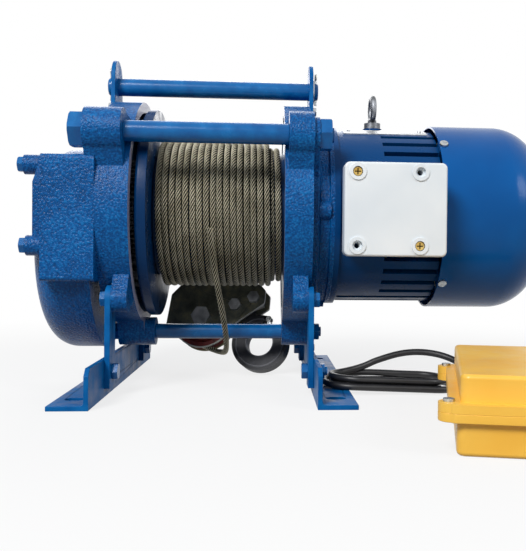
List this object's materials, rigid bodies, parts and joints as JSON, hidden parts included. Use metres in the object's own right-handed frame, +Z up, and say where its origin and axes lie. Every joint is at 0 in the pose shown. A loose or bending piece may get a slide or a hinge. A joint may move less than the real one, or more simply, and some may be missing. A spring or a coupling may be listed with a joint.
{
  "type": "electric rope winch",
  "caption": "Electric rope winch: flanged motor, geared drum between cast brackets, wire rope to a hook block, control box on a cable",
  "frame": {"origin": "on the floor, midway between the four foot bolt slots", "axes": "+X along the drum towards the motor, +Y away from the front, +Z up"},
  "size_m": [0.5185, 0.5058, 0.322],
  "materials": {
    "cast_blue": "hammered enamel on castings and angle irons",
    "gloss_blue": "smooth gloss enamel on pressed sheet",
    "block_paint": "worn dark paint on steel plate",
    "hook_black": "black enamel on forged steel",
    "sheave_red": "dark red enamel, bare in the groove",
    "steel": "machined steel",
    "zinc": "zinc plated",
    "rope_wire": "oiled steel wire rope",
    "lamination": "stacked electrical steel",
    "copper": "enamelled copper winding",
    "brass": "turned brass",
    "aluminium": "bare aluminium",
    "white_plastic": "smooth moulded plastic",
    "dark_plastic": "dark moulded plastic",
    "yellow_plastic": "smooth moulded plastic",
    "cable_jacket": "black rubber jacket"
  },
  "bodies": {
    "winch_frame": {"bearings": "steel", "block_bolts": "zinc", "block_yoke": "block_paint", "bottom_tie_tube": "cast_blue", "cable_gland": "dark_plastic", "cable_hank": "cable_jacket", "case_bolts": "cast_blue", "contactor": "dark_plastic", "control_base": "yellow_plastic", "control_cover": "yellow_plastic", "control_screws": "zinc", "cowl_screws": "zinc", "fan_cowl": "gloss_blue", "foot_bolts": "cast_blue", "front_block_cheek": "block_paint", "front_tie_tube": "cast_blue", "gear_block": "cast_blue", "gear_case": "cast_blue", "left_bracket": "cast_blue", "left_foot": "cast_blue", "left_foot_bars": "cast_blue", "left_suspension_plate": "cast_blue", "lid_screws": "brass", "lifting_eye": "zinc", "motor_frame": "cast_blue", "motor_shield": "cast_blue", "power_cable": "cable_jacket", "rating_plate": "aluminium", "rear_block_cheek": "block_paint", "rear_shield": "cast_blue", "rear_tie_tube": "cast_blue", "right_bracket": "cast_blue", "right_foot": "cast_blue", "right_foot_bars": "cast_blue", "right_suspension_plate": "cast_blue", "rope_lead": "rope_wire", "rope_socket": "zinc", "stator_core": "lamination", "suspension_bar": "cast_blue", "suspension_bolts": "zinc", "suspension_pins": "zinc", "terminal_base": "cast_blue", "terminal_board": "dark_plastic", "terminal_lid": "white_plastic", "tie_bolts": "cast_blue", "tie_nuts": "cast_blue", "windings": "copper"},
    "drum": {"drum": "steel", "wound_rope": "rope_wire", "drum_gear": "steel"},
    "lay_shaft": {"lay_shaft": "steel", "lay_wheel": "steel"},
    "rotor": {"motor_shaft": "steel", "rotor_core": "lamination", "fan": "dark_plastic"},
    "sheave": {"sheave": "sheave_red"},
    "hook": {"hook": "hook_black", "latch_pin": "zinc"},
    "latch": {"hook_latch": "zinc"}
  },
  "joints": [
    {"name": "drum_spin", "type": "hinge", "parent": "winch_frame", "child": "drum", "pos_m": [0, 0, 0.169], "axis": [1, 0, 0], "continuous": true},
    {"name": "lay_shaft_spin", "type": "hinge", "parent": "winch_frame", "child": "lay_shaft", "pos_m": [0, 0, 0.106], "axis": [1, 0, 0], "continuous": true},
    {"name": "rotor_spin", "type": "hinge", "parent": "winch_frame", "child": "rotor", "pos_m": [0, 0, 0.169], "axis": [1, 0, 0], "continuous": true},
    {"name": "sheave_spin", "type": "hinge", "parent": "winch_frame", "child": "sheave", "pos_m": [-0.01789, 0.0656, 0.05593], "axis": [0.2273, 0.9118, -0.342], "continuous": true},
    {"name": "hook_swivel", "type": "hinge", "parent": "winch_frame", "child": "hook", "pos_m": [0.0292, 0.0602, 0.07285], "axis": [-0.3087, 0.4006, 0.8627], "continuous": true},
    {"name": "latch_hinge", "type": "hinge", "parent": "hook", "child": "latch", "pos_m": [0.05307, 0.04843, 0.05734], "axis": [0.2273, 0.9118, -0.342], "range_deg": [0, 25], "stiffness_Nm_per_rad": 0.02, "springref_deg": -20.05}
  ],
  "couplings": [
    {"joint": "lay_shaft_spin", "follows": "drum_spin", "ratio": -5},
    {"joint": "rotor_spin", "follows": "drum_spin", "ratio": 25}
  ]
}
